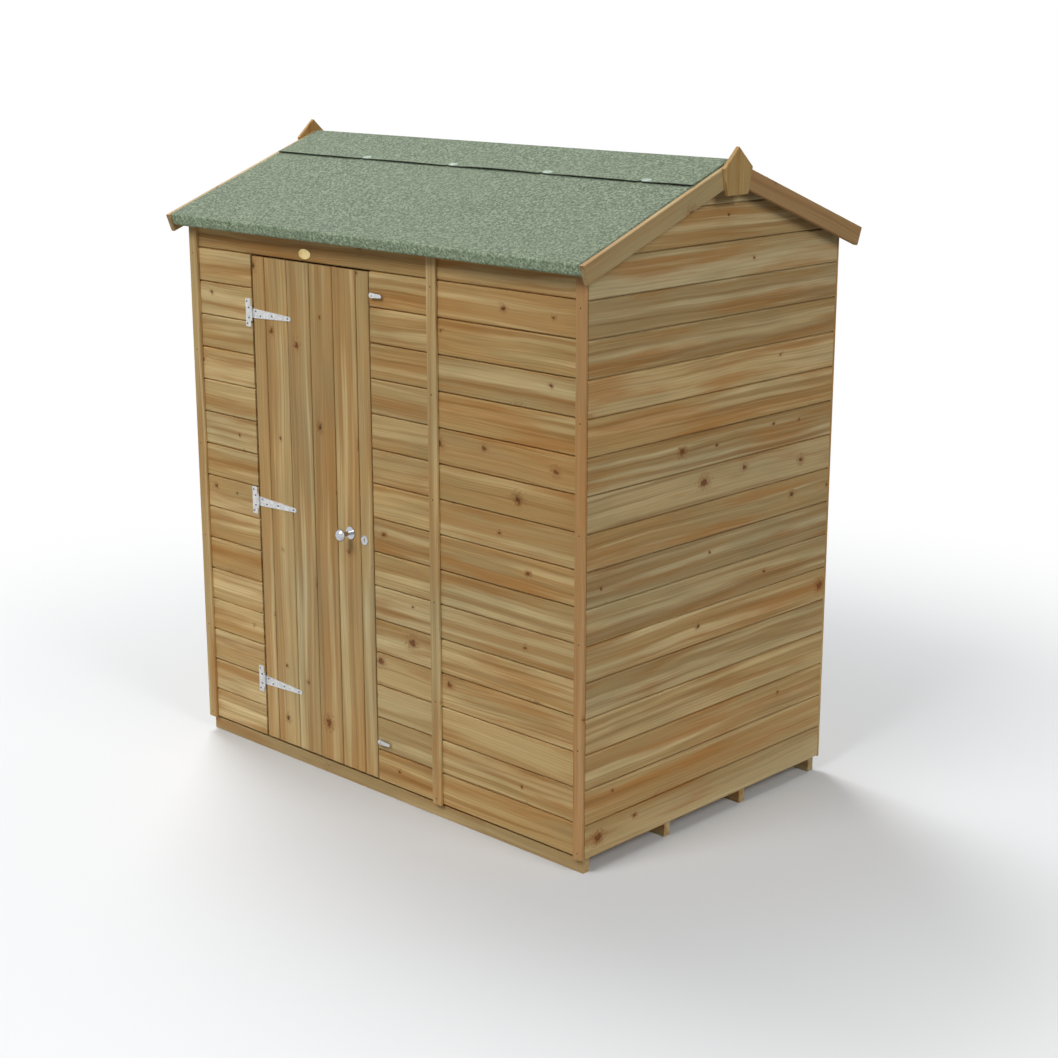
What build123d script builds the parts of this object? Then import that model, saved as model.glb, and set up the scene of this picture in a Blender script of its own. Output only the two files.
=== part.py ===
"""Wooden garden shed, 6 x 4 ft, with the door in a long side and a felted apex roof.

Row frame: millimetres, X along the front to the right, Y to the back, Z up, ground at Z = 0,
origin under the middle of the building.  The door side faces -Y.
"""

import os
from math import cos, radians, sin

from build123d import *

# Walls: outer faces of the tongue-and-groove cladding, and the trims that lap its joints.
wall_width = 1830.0
wall_depth = 1182.0
cladding_thickness = 12.0
cladding_foot = 50.0
trim_width = 40.0
trim_thickness = 12.0
plain_panel_width = 635.0

# Floor: bearers on the ground carry a boarded deck.
bearer_width = 28.0
bearer_height = 44.0
bearer_inset = 6.0
bearer_count = 4
deck_thickness = 12.0
deck_edge_gap = 5.0

# Framing behind the cladding.
batten_width = 27.0
batten_depth = 27.0
batten_joint = 1.0
lintel_height = 34.0

# Roof: boarded panels with a felt covering, laid on the gables.
ridge_height = 2100.0
roof_pitch = 20.6
roof_board = 11.0
eave_batten_gap = 10.0
felt_thickness = 2.5
felt_turn_down = 38.0
ridge_felt_run = 185.0
barge_overhang = 26.0
barge_thickness = 18.0
barge_width = 60.0
barge_tail = 9.0

# Finials over the bargeboard joints.
finial_thickness = 13.0
finial_half_width = 67.0
finial_foot_half = 47.0
finial_apex_rise = 43.0
finial_shoulder_drop = 18.0
finial_foot_drop = 98.0

# Doorway and door leaf.
doorway_from_corner = 316.0
doorway_width = 590.0
header_height = 121.0
door_side_gap = 6.0
door_head_gap = 5.0
door_foot_rise = 5.0
ledge_height = 90.0
ledge_depth = 22.0
ledge_inset = 34.0
brace_width = 70.0

# T-hinges.
hinge_from_foot = 205.0
hinge_from_head = 190.0
hinge_metal = 2.5
hinge_pin_standoff = 5.0
hinge_pin_radius = 2.2
hinge_pin_clearance = 0.05
knuckle_radius = 4.4
knuckle_gap = 0.5
plate_knuckle = 9.0
plate_height = 95.0
plate_width = 33.0
plate_relief = 3.0
strap_length = 200.0
strap_root_height = 33.0
strap_tip_height = 15.0

# Pull knob and lock escutcheon on the door.
knob_from_edge = 108.0
knob_below_ledge = 25.0
knob_rose_radius = 21.0
knob_rose_thickness = 3.5
knob_neck_radius = 7.5
knob_neck_length = 31.0
knob_radius = 21.0
knob_depth = 26.0
knob_flare = 9.0
knob_rim = 4.0
escutcheon_from_edge = 40.0
escutcheon_below_ledge = 37.0
escutcheon_radius = 16.0
escutcheon_thickness = 2.5
keyhole_height = 13.0
keyhole_width = 5.0

# Turn buttons screwed to the wall beside the door.
button_from_foot = 135.0
button_from_head = 69.0
button_from_doorway = 17.0
button_boss_radius = 8.0
button_boss_height = 5.2
button_length = 49.0
button_tail_radius = 5.5
button_thickness = 5.5
button_running_gap = 0.3
button_screw_radius = 2.5
button_screw_clearance = 0.05
button_head_radius = 5.0
button_head_height = 2.0

# Positions worked out from those sizes and shared by several pieces.
wall_x = wall_width / 2
wall_y = wall_depth / 2
inner_x = wall_x - cladding_thickness
inner_y = wall_y - cladding_thickness
frame_x = inner_x - batten_depth
frame_y = inner_y - batten_depth
deck_top = bearer_height + deck_thickness
sole_top = deck_top + batten_width
barge_inner_x = wall_x + barge_overhang
barge_outer_x = barge_inner_x + barge_thickness
panel_joint_x = wall_x - plain_panel_width
doorway_left_x = doorway_from_corner - wall_x
doorway_right_x = doorway_left_x + doorway_width
door_left_x = doorway_left_x + door_side_gap
door_right_x = doorway_right_x - door_side_gap
pin_x = doorway_left_x + door_side_gap / 2
pin_y = -wall_y - hinge_pin_standoff
cos_pitch = cos(radians(roof_pitch))
sin_pitch = sin(radians(roof_pitch))
trim_y = wall_y + trim_thickness
eave_batten_y = trim_y + eave_batten_gap + (roof_board + batten_width) * sin_pitch
eave_batten_run = eave_batten_y / cos_pitch
roof_run = eave_batten_run + batten_width
barge_run = roof_run + barge_tail
FRONT = -1
BACK = 1


def on_slope(side, along, lift):
    """Point (y, z) at a distance down one roof slope and a lift off the boards' top."""
    y = side * (along * cos_pitch + lift * sin_pitch)
    return (y, ridge_height - along * sin_pitch + lift * cos_pitch)


def over(side, reach, lift):
    """Point (y, z) above a plan distance from the ridge, at a lift off the boards' top."""
    along = (reach - lift * sin_pitch) / cos_pitch
    return on_slope(side, along, lift)


def height_over(reach, lift):
    """Height of a roof plane above a plan distance from the ridge."""
    return over(BACK, reach, lift)[1]


eaves_height = height_over(wall_y, -roof_board)
doorway_head = eaves_height - header_height
door_head = doorway_head - door_head_gap
door_foot = cladding_foot + door_foot_rise
lowest_hinge = door_foot + hinge_from_foot
highest_hinge = door_head - hinge_from_head
hinge_heights = (lowest_hinge, (lowest_hinge + highest_hinge) / 2, highest_hinge)


def slab(x0, x1, y0, y1, z0, z1):
    """Square-edged block between two corners."""
    with Locations(((x0 + x1) / 2, (y0 + y1) / 2, (z0 + z1) / 2)):
        Box(abs(x1 - x0), abs(y1 - y0), z1 - z0)


def along_x(points, x0, x1):
    """Run a (y, z) outline along X."""
    with BuildSketch(Plane.YZ.offset(x0)) as section:
        with BuildLine():
            Polyline(*points, close=True)
        make_face()
    extrude(section.sketch, amount=x1 - x0)


def out_of_wall(points, y0, depth):
    """Run an (x, z) outline from y0 towards the front."""
    with BuildSketch(Plane.XZ.offset(-y0)) as face:
        with BuildLine():
            Polyline(*points, close=True)
        make_face()
    extrude(face.sketch, amount=depth)


def eaves_layer(side, reach_in, reach_out, foot, x0, x1):
    """Layer of a long wall, its top bevelled to the roof boards."""
    outline = [
        (side * reach_in, foot),
        (side * reach_out, foot),
        over(side, reach_out, -roof_board),
        over(side, reach_in, -roof_board),
    ]
    along_x(outline, x0, x1)


# Floor.
outer_bearer_y = wall_y - bearer_inset - bearer_width / 2
with BuildPart() as floor_bearers:
    for index in range(bearer_count):
        bearer_share = index / (bearer_count - 1)
        bearer_y = outer_bearer_y * (bearer_share + bearer_share - 1)
        slab(
            -inner_x,
            inner_x,
            bearer_y - bearer_width / 2,
            bearer_y + bearer_width / 2,
            0,
            bearer_height,
        )

deck_y = inner_y - deck_edge_gap
with BuildPart() as floor_deck:
    slab(-inner_x, inner_x, -deck_y, deck_y, bearer_height, deck_top)

# Front wall cladding, split beside and over the doorway and at the panel joint.
with BuildPart() as front_wall_left:
    eaves_layer(FRONT, inner_y, wall_y, cladding_foot, -inner_x, doorway_left_x)

with BuildPart() as front_wall_header:
    eaves_layer(FRONT, inner_y, wall_y, doorway_head, doorway_left_x, doorway_right_x)

with BuildPart() as front_wall_right:
    eaves_layer(FRONT, inner_y, wall_y, cladding_foot, doorway_right_x, panel_joint_x)

with BuildPart() as front_wall_plain:
    eaves_layer(FRONT, inner_y, wall_y, cladding_foot, panel_joint_x, inner_x)

# Back wall cladding: the same two panel widths, with no doorway.
with BuildPart() as back_wall_wide:
    eaves_layer(BACK, inner_y, wall_y, cladding_foot, -panel_joint_x, inner_x)

with BuildPart() as back_wall_narrow:
    eaves_layer(BACK, inner_y, wall_y, cladding_foot, -inner_x, -panel_joint_x)


def gable_outline():
    """Five-sided gable, its top edges under the roof boards."""
    return [
        (-wall_y, cladding_foot),
        (wall_y, cladding_foot),
        over(BACK, wall_y, -roof_board),
        over(BACK, 0, -roof_board),
        over(FRONT, wall_y, -roof_board),
    ]


with BuildPart() as left_gable_wall:
    along_x(gable_outline(), -wall_x, -inner_x)

with BuildPart() as right_gable_wall:
    along_x(gable_outline(), inner_x, wall_x)

# Long-wall framing: plates at the foot and head, studs between them.
plate_foot = height_over(inner_y, -roof_board) - batten_width


def sole(side, x0, x1):
    """Plate lying on the deck against the cladding."""
    slab(x0, x1, side * frame_y, side * inner_y, deck_top, sole_top)


def head_plate(side, x0, x1):
    """Plate under the roof boards, its top bevelled to them."""
    eaves_layer(side, frame_y, inner_y, plate_foot, x0, x1)


def stud(side, x0):
    """Upright between the two plates."""
    slab(x0, x0 + batten_width, side * frame_y, side * inner_y, sole_top, plate_foot)


with BuildPart() as front_plates:
    sole(FRONT, -inner_x, doorway_left_x)
    sole(FRONT, doorway_right_x, panel_joint_x - batten_joint)
    sole(FRONT, panel_joint_x, inner_x)
    head_plate(FRONT, -inner_x, panel_joint_x - batten_joint)
    head_plate(FRONT, panel_joint_x, inner_x)
    slab(
        doorway_left_x,
        doorway_right_x,
        -frame_y,
        -inner_y,
        doorway_head,
        doorway_head + lintel_height,
    )

front_stud_places = (
    -inner_x,
    doorway_left_x - batten_width,
    doorway_right_x,
    panel_joint_x - batten_joint - batten_width,
    panel_joint_x,
    inner_x - batten_width,
)
with BuildPart() as front_studs:
    for stud_x in front_stud_places:
        stud(FRONT, stud_x)

with BuildPart() as back_plates:
    sole(BACK, -inner_x, -panel_joint_x - batten_joint)
    sole(BACK, -panel_joint_x, inner_x)
    head_plate(BACK, -inner_x, -panel_joint_x - batten_joint)
    head_plate(BACK, -panel_joint_x, inner_x)

back_middle_x = (inner_x - panel_joint_x - batten_width) / 2
back_stud_places = (
    -inner_x,
    -panel_joint_x - batten_joint - batten_width,
    -panel_joint_x,
    back_middle_x,
    inner_x - batten_width,
)
with BuildPart() as back_studs:
    for stud_x in back_stud_places:
        stud(BACK, stud_x)

# Gable framing: posts at the corners and middle, a sole and two raking rails.
rail_under = -roof_board - batten_width


def gable_posts(x0, x1):
    """Two corner posts and a middle post with tops cut to the raking rails."""
    post_inner = frame_y - batten_width
    post_half = batten_width / 2
    for side in (FRONT, BACK):
        outline = [
            (side * post_inner, sole_top),
            (side * frame_y, sole_top),
            over(side, frame_y, rail_under),
            over(side, post_inner, rail_under),
        ]
        along_x(outline, x0, x1)
    middle = [
        (-post_half, sole_top),
        (post_half, sole_top),
        over(BACK, post_half, rail_under),
        over(BACK, 0, rail_under),
        over(FRONT, post_half, rail_under),
    ]
    along_x(middle, x0, x1)


def gable_rails(x0, x1):
    """A sole on the deck and a raking rail under each roof panel."""
    slab(x0, x1, -frame_y, frame_y, deck_top, sole_top)
    for side in (FRONT, BACK):
        outline = [
            over(side, batten_joint, -roof_board),
            over(side, frame_y, -roof_board),
            over(side, frame_y, rail_under),
            over(side, batten_joint, rail_under),
        ]
        along_x(outline, x0, x1)


with BuildPart() as left_gable_posts:
    gable_posts(-inner_x, -frame_x)

with BuildPart() as left_gable_rails:
    gable_rails(-inner_x, -frame_x)

with BuildPart() as right_gable_posts:
    gable_posts(frame_x, inner_x)

with BuildPart() as right_gable_rails:
    gable_rails(frame_x, inner_x)


# Cover strips over the panel joints and trims over the corners.
def trim(side, x0):
    """Upright trim on a long wall, its top bevelled under the roof boards."""
    eaves_layer(side, wall_y, trim_y, cladding_foot, x0, x0 + trim_width)


with BuildPart() as front_cover_strip:
    trim(FRONT, panel_joint_x - trim_width / 2)

with BuildPart() as back_cover_strip:
    trim(BACK, -panel_joint_x - trim_width / 2)

with BuildPart() as front_corner_trims:
    trim(FRONT, -wall_x)
    trim(FRONT, wall_x - trim_width)

with BuildPart() as back_corner_trims:
    trim(BACK, -wall_x)
    trim(BACK, wall_x - trim_width)


# Roof panels, battens under their edges, felt and bargeboards.
def roof_panel(side):
    """Boarded panel from the ridge to the eaves."""
    outline = [
        over(side, 0, 0),
        on_slope(side, roof_run, 0),
        on_slope(side, roof_run, -roof_board),
        over(side, 0, -roof_board),
    ]
    along_x(outline, -barge_inner_x, barge_inner_x)


with BuildPart() as front_roof_panel:
    roof_panel(FRONT)

with BuildPart() as back_roof_panel:
    roof_panel(BACK)

with BuildPart() as eave_battens:
    for side in (FRONT, BACK):
        eave_outline = [
            on_slope(side, eave_batten_run, -roof_board),
            on_slope(side, roof_run, -roof_board),
            on_slope(side, roof_run, rail_under),
            on_slope(side, eave_batten_run, rail_under),
        ]
        along_x(eave_outline, -barge_inner_x, barge_inner_x)

with BuildPart() as verge_battens:
    for side in (FRONT, BACK):
        verge_outline = [
            over(side, batten_joint, -roof_board),
            on_slope(side, eave_batten_run, -roof_board),
            on_slope(side, eave_batten_run, rail_under),
            over(side, batten_joint, rail_under),
        ]
        along_x(verge_outline, -barge_inner_x, -wall_x)
        along_x(verge_outline, wall_x, barge_inner_x)


def felt_sheet(side):
    """Felt over one panel, turned down over the eave."""
    felt_run = roof_run + felt_thickness
    outline = [
        over(side, 0, felt_thickness),
        on_slope(side, felt_run, felt_thickness),
        on_slope(side, felt_run, -felt_turn_down),
        on_slope(side, roof_run, -felt_turn_down),
        on_slope(side, roof_run, 0),
        over(side, 0, 0),
    ]
    along_x(outline, -barge_inner_x, barge_inner_x)


with BuildPart() as front_felt:
    felt_sheet(FRONT)

with BuildPart() as back_felt:
    felt_sheet(BACK)

with BuildPart() as ridge_felt:
    cap_lift = felt_thickness + felt_thickness
    cap_outline = [
        on_slope(FRONT, ridge_felt_run, felt_thickness),
        on_slope(FRONT, ridge_felt_run, cap_lift),
        over(FRONT, 0, cap_lift),
        on_slope(BACK, ridge_felt_run, cap_lift),
        on_slope(BACK, ridge_felt_run, felt_thickness),
        over(BACK, 0, felt_thickness),
    ]
    along_x(cap_outline, -barge_inner_x, barge_inner_x)


def bargeboard(side, x0):
    """Raking board over the panel's end, plumb at the ridge and square at the eave."""
    barge_under = felt_thickness - barge_width
    outline = [
        over(side, 0, felt_thickness),
        on_slope(side, barge_run, felt_thickness),
        on_slope(side, barge_run, barge_under),
        over(side, 0, barge_under),
    ]
    along_x(outline, x0, x0 + barge_thickness)


with BuildPart() as front_left_bargeboard:
    bargeboard(FRONT, -barge_outer_x)

with BuildPart() as back_left_bargeboard:
    bargeboard(BACK, -barge_outer_x)

with BuildPart() as front_right_bargeboard:
    bargeboard(FRONT, barge_inner_x)

with BuildPart() as back_right_bargeboard:
    bargeboard(BACK, barge_inner_x)

finial_outline = [
    (0, ridge_height + finial_apex_rise),
    (finial_half_width, ridge_height - finial_shoulder_drop),
    (finial_foot_half, ridge_height - finial_foot_drop),
    (-finial_foot_half, ridge_height - finial_foot_drop),
    (-finial_half_width, ridge_height - finial_shoulder_drop),
]
with BuildPart() as finials:
    along_x(finial_outline, barge_outer_x, barge_outer_x + finial_thickness)
    along_x(finial_outline, -barge_outer_x - finial_thickness, -barge_outer_x)

# Door leaf: boards in the plane of the cladding, ledges and braces behind them.
with BuildPart() as door_boards:
    slab(door_left_x, door_right_x, -wall_y, -inner_y, door_foot, door_head)

ledge_left_x = door_left_x + ledge_inset
ledge_right_x = door_right_x - ledge_inset
with BuildPart() as door_ledges:
    for hinge_z in hinge_heights:
        slab(
            ledge_left_x,
            ledge_right_x,
            -inner_y,
            ledge_depth - inner_y,
            hinge_z - ledge_height / 2,
            hinge_z + ledge_height / 2,
        )

with BuildPart() as door_braces:
    for low_z, high_z in zip(hinge_heights[:-1], hinge_heights[1:]):
        brace_foot = low_z + ledge_height / 2
        brace_head = high_z - ledge_height / 2
        brace_outline = [
            (ledge_left_x, brace_foot),
            (ledge_left_x + brace_width, brace_foot),
            (ledge_right_x, brace_head),
            (ledge_right_x - brace_width, brace_head),
        ]
        out_of_wall(brace_outline, ledge_depth - inner_y, ledge_depth)


# T-hinges: wall plates with pins, and straps turning on them.
def knuckle(z0, radius):
    """Upright barrel on the hinge line."""
    with Locations((pin_x, pin_y, z0)):
        Cylinder(radius, plate_knuckle, align=(Align.CENTER, Align.CENTER, Align.MIN))


with BuildPart() as hinge_plates:
    for hinge_z in hinge_heights:
        plate_low = hinge_z - plate_height / 2
        plate_high = hinge_z + plate_height / 2
        plate_back = -wall_y
        plate_front = -wall_y - hinge_metal
        plate_edge_x = pin_x - knuckle_radius - plate_relief
        upper_knuckle = hinge_z + strap_root_height / 2 + knuckle_gap
        lower_knuckle = hinge_z - strap_root_height / 2 - knuckle_gap - plate_knuckle
        slab(pin_x - plate_width, plate_edge_x, plate_front, plate_back, plate_low, plate_high)
        for knuckle_z in (lower_knuckle, upper_knuckle):
            knuckle_top = knuckle_z + plate_knuckle
            slab(plate_edge_x, pin_x, plate_front, plate_back, knuckle_z, knuckle_top)
            knuckle(knuckle_z, knuckle_radius)
        with Locations((pin_x, pin_y, hinge_z)):
            Cylinder(hinge_pin_radius, upper_knuckle - lower_knuckle)

with BuildPart() as hinge_straps:
    for hinge_z in hinge_heights:
        strap_half = strap_root_height / 2
        tip_half = strap_tip_height / 2
        strap_outline = [
            (pin_x, hinge_z - strap_half),
            (pin_x + strap_length - tip_half, hinge_z - tip_half),
            (pin_x + strap_length - tip_half, hinge_z + tip_half),
            (pin_x, hinge_z + strap_half),
        ]
        out_of_wall(strap_outline, -wall_y, hinge_metal)
        tip_spot = (pin_x + strap_length - tip_half, -wall_y - hinge_metal / 2, hinge_z)
        with Locations(Location(tip_spot, (90, 0, 0))):
            Cylinder(tip_half, hinge_metal)
        with Locations((pin_x, pin_y, hinge_z)):
            Cylinder(knuckle_radius, strap_root_height)
            Cylinder(
                hinge_pin_radius + hinge_pin_clearance,
                strap_root_height,
                mode=Mode.SUBTRACT,
            )

# Pull knob on a round rose, and the lock's escutcheon beside it.
knob_x = door_right_x - knob_from_edge
knob_spot = (knob_x, -wall_y, hinge_heights[1] - knob_below_ledge)
with BuildPart() as door_knob:
    with BuildSketch(Plane(origin=knob_spot, x_dir=(1, 0, 0), z_dir=(0, 0, -1))):
        with BuildLine():
            neck_end = knob_rose_thickness + knob_neck_length
            flare_end = neck_end + knob_flare
            rim_end = flare_end + knob_rim
            knob_tip = neck_end + knob_depth
            Polyline(
                (0, knob_tip),
                (0, 0),
                (knob_rose_radius, 0),
                (knob_rose_radius, knob_rose_thickness),
                (knob_neck_radius, knob_rose_thickness),
                (knob_neck_radius, neck_end),
                (knob_radius, flare_end),
                (knob_radius, rim_end),
            )
            dome = knob_tip - rim_end
            dome_radius = (knob_radius**2 + dome**2) / (dome + dome)
            RadiusArc((knob_radius, rim_end), (0, knob_tip), -dome_radius)
        make_face()
    revolve(axis=Axis(knob_spot, (0, -1, 0)))

escutcheon_x = door_right_x - escutcheon_from_edge
with BuildPart() as lock_escutcheon:
    with BuildSketch(Plane.XZ.offset(wall_y)):
        with Locations((escutcheon_x, hinge_heights[1] - escutcheon_below_ledge)):
            Circle(escutcheon_radius)
            SlotOverall(keyhole_height, keyhole_width, rotation=90, mode=Mode.SUBTRACT)
    extrude(amount=escutcheon_thickness)

# Turn buttons: a screw and boss fixed to the wall, and a bar that turns on the screw.
button_x = doorway_right_x + button_from_doorway
button_heights = (door_foot + button_from_foot, door_head - button_from_head)
bar_back = button_boss_height + button_running_gap
bar_front = bar_back + button_thickness
head_back = bar_front + button_running_gap
head_front = head_back + button_head_height


def out_disc(x, z, radius, start, end):
    """Round disc standing out from the front cladding."""
    with BuildSketch(Plane.XZ.offset(wall_y + start)) as disc:
        with Locations((x, z)):
            Circle(radius)
    extrude(disc.sketch, amount=end - start)


with BuildPart() as turn_button_pivots:
    for button_z in button_heights:
        out_disc(button_x, button_z, button_boss_radius, 0, button_boss_height)
        out_disc(button_x, button_z, button_screw_radius, 0, head_front)
        out_disc(button_x, button_z, button_head_radius, head_back, head_front)


def turn_button(button_z):
    """Bar with a round boss end, its tail turned away from the door."""
    tail_x = button_x + button_length - button_tail_radius
    outline = [
        (button_x, -button_boss_radius + button_z),
        (tail_x, -button_tail_radius + button_z),
        (tail_x, button_tail_radius + button_z),
        (button_x, button_boss_radius + button_z),
    ]
    out_of_wall(outline, -wall_y - bar_back, button_thickness)
    out_disc(button_x, button_z, button_boss_radius, bar_back, bar_front)
    out_disc(tail_x, button_z, button_tail_radius, bar_back, bar_front)
    bore = button_screw_radius + button_screw_clearance
    with Locations(Location((button_x, -wall_y - bar_back, button_z), (90, 0, 0))):
        Hole(bore, button_thickness)


with BuildPart() as lower_turn_button:
    turn_button(button_heights[0])

with BuildPart() as upper_turn_button:
    turn_button(button_heights[-1])

# Every piece is written under its own name.
pieces = {
    "floor_bearers": floor_bearers,
    "floor_deck": floor_deck,
    "front_wall_left": front_wall_left,
    "front_wall_header": front_wall_header,
    "front_wall_right": front_wall_right,
    "front_wall_plain": front_wall_plain,
    "back_wall_wide": back_wall_wide,
    "back_wall_narrow": back_wall_narrow,
    "left_gable_wall": left_gable_wall,
    "right_gable_wall": right_gable_wall,
    "front_plates": front_plates,
    "front_studs": front_studs,
    "back_plates": back_plates,
    "back_studs": back_studs,
    "left_gable_posts": left_gable_posts,
    "left_gable_rails": left_gable_rails,
    "right_gable_posts": right_gable_posts,
    "right_gable_rails": right_gable_rails,
    "front_cover_strip": front_cover_strip,
    "back_cover_strip": back_cover_strip,
    "front_corner_trims": front_corner_trims,
    "back_corner_trims": back_corner_trims,
    "front_roof_panel": front_roof_panel,
    "back_roof_panel": back_roof_panel,
    "eave_battens": eave_battens,
    "verge_battens": verge_battens,
    "front_felt": front_felt,
    "back_felt": back_felt,
    "ridge_felt": ridge_felt,
    "front_left_bargeboard": front_left_bargeboard,
    "back_left_bargeboard": back_left_bargeboard,
    "front_right_bargeboard": front_right_bargeboard,
    "back_right_bargeboard": back_right_bargeboard,
    "finials": finials,
    "door_boards": door_boards,
    "door_ledges": door_ledges,
    "door_braces": door_braces,
    "hinge_plates": hinge_plates,
    "hinge_straps": hinge_straps,
    "door_knob": door_knob,
    "lock_escutcheon": lock_escutcheon,
    "turn_button_pivots": turn_button_pivots,
    "lower_turn_button": lower_turn_button,
    "upper_turn_button": upper_turn_button,
}
os.makedirs("parts", exist_ok=True)
for name, piece in pieces.items():
    piece.part.label = name
    export_step(piece.part, f"parts/{name}.step")
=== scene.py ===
import math
import random

import bmesh
import bpy
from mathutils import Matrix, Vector, noise


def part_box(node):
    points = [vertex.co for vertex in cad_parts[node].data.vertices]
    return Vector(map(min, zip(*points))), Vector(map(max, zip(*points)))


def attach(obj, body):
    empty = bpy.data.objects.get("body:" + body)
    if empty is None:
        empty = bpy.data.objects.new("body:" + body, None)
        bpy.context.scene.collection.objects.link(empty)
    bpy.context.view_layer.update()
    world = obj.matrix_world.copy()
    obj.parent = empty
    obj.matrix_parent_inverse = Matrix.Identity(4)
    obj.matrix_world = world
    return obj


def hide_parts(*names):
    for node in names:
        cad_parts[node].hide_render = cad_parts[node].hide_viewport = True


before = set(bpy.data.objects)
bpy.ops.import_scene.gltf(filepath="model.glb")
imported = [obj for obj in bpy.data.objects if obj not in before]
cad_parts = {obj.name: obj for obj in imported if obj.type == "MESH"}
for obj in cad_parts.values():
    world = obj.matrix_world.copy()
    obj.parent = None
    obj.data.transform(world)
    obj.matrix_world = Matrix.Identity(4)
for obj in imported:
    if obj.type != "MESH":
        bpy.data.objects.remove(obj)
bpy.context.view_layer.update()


# Floor bearers: four sawn softwood runners under the floor, pressure treated, that lift it off the
# ground. They run the length of the shed and are nailed up into the floor boards.
# Every timber piece is cut from a section, and carries its own grain and its own lot of chance.

RIGHT = Vector((1, 0, 0))
BACK = Vector((0, 1, 0))
UP = Vector((0, 0, 1))


def colour(red, green, blue):
    """A colour as seen on a screen, 0 to 255, as the shader wants it."""
    linear = []
    for level in (red, green, blue):
        share = level / 255
        linear.append(share / 12.92 if share < 0.04045 else ((share + 0.055) / 1.055) ** 2.4)
    return (*linear, 1.0)


class Nodes:
    """A shader in the making: each call adds a node and hands back what comes out of it."""

    def __init__(self, holder):
        holder.use_nodes = True
        self.tree = holder.node_tree

    def feed(self, socket, value):
        if isinstance(value, bpy.types.NodeSocket):
            self.tree.links.new(value, socket)
        else:
            socket.default_value = value

    def node(self, kind, inputs, **settings):
        made = self.tree.nodes.new("ShaderNode" + kind)
        for name, value in settings.items():
            setattr(made, name, value)
        for key, value in inputs.items():
            self.feed(made.inputs[key], value)
        return made

    def maths(self, operation, *values):
        return self.node("Math", dict(enumerate(values)), operation=operation).outputs[0]

    def vector(self, operation, *values):
        made = self.node("VectorMath", dict(enumerate(values)), operation=operation)
        return made.outputs["Value" if operation == "LENGTH" else "Vector"]

    def dot(self, one, other):
        return self.node("VectorMath", {0: one, 1: other}, operation="DOT_PRODUCT").outputs["Value"]

    def split(self, vector):
        return self.node("SeparateXYZ", {0: vector}).outputs

    def join(self, *values):
        return self.node("CombineXYZ", dict(enumerate(values))).outputs[0]

    def ramp(self, value, low, high, first=0.0, last=1.0):
        """Goes smoothly from first to last as value goes from low to high."""
        span = {"Value": value, "From Min": low, "From Max": high, "To Min": first, "To Max": last}
        return self.node("MapRange", span, interpolation_type="SMOOTHSTEP").outputs[0]

    def cloud(self, where, stretch, detail=2.0, rough=0.5):
        """Soft noise from 0 to 1, with stretch waves to the metre along each axis."""
        spot = self.vector("MULTIPLY", where, stretch)
        sizes = {"Vector": spot, "Scale": 1.0, "Detail": detail, "Roughness": rough}
        return self.node("TexNoise", sizes).outputs[0]

    def mix(self, share, one, other, blend="MIX"):
        shades = {0: share, 6: one, 7: other}
        return self.node("Mix", shades, data_type="RGBA", blend_type=blend).outputs[2]


class Finish(Nodes):
    """The finish of one kind of surface."""

    def __init__(self, name):
        self.material = bpy.data.materials.new(name)
        super().__init__(self.material)
        self.shader = self.tree.nodes["Principled BSDF"]

    def dress(self, base, rough, height=None, depth=0.001, metal=0.0, gloss=0.5):
        """Sets the shader: colour, roughness, metal, gloss and a bump that stands depth metres high."""
        self.feed(self.shader.inputs["Base Color"], base)
        self.feed(self.shader.inputs["Roughness"], rough)
        self.shader.inputs["Metallic"].default_value = metal
        self.shader.inputs["Specular IOR Level"].default_value = gloss
        if height is not None:
            bump = self.node("Bump", {"Height": height, "Distance": depth, "Strength": 1.0})
            self.feed(self.shader.inputs["Normal"], bump.outputs[0])
        return self.material


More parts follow.
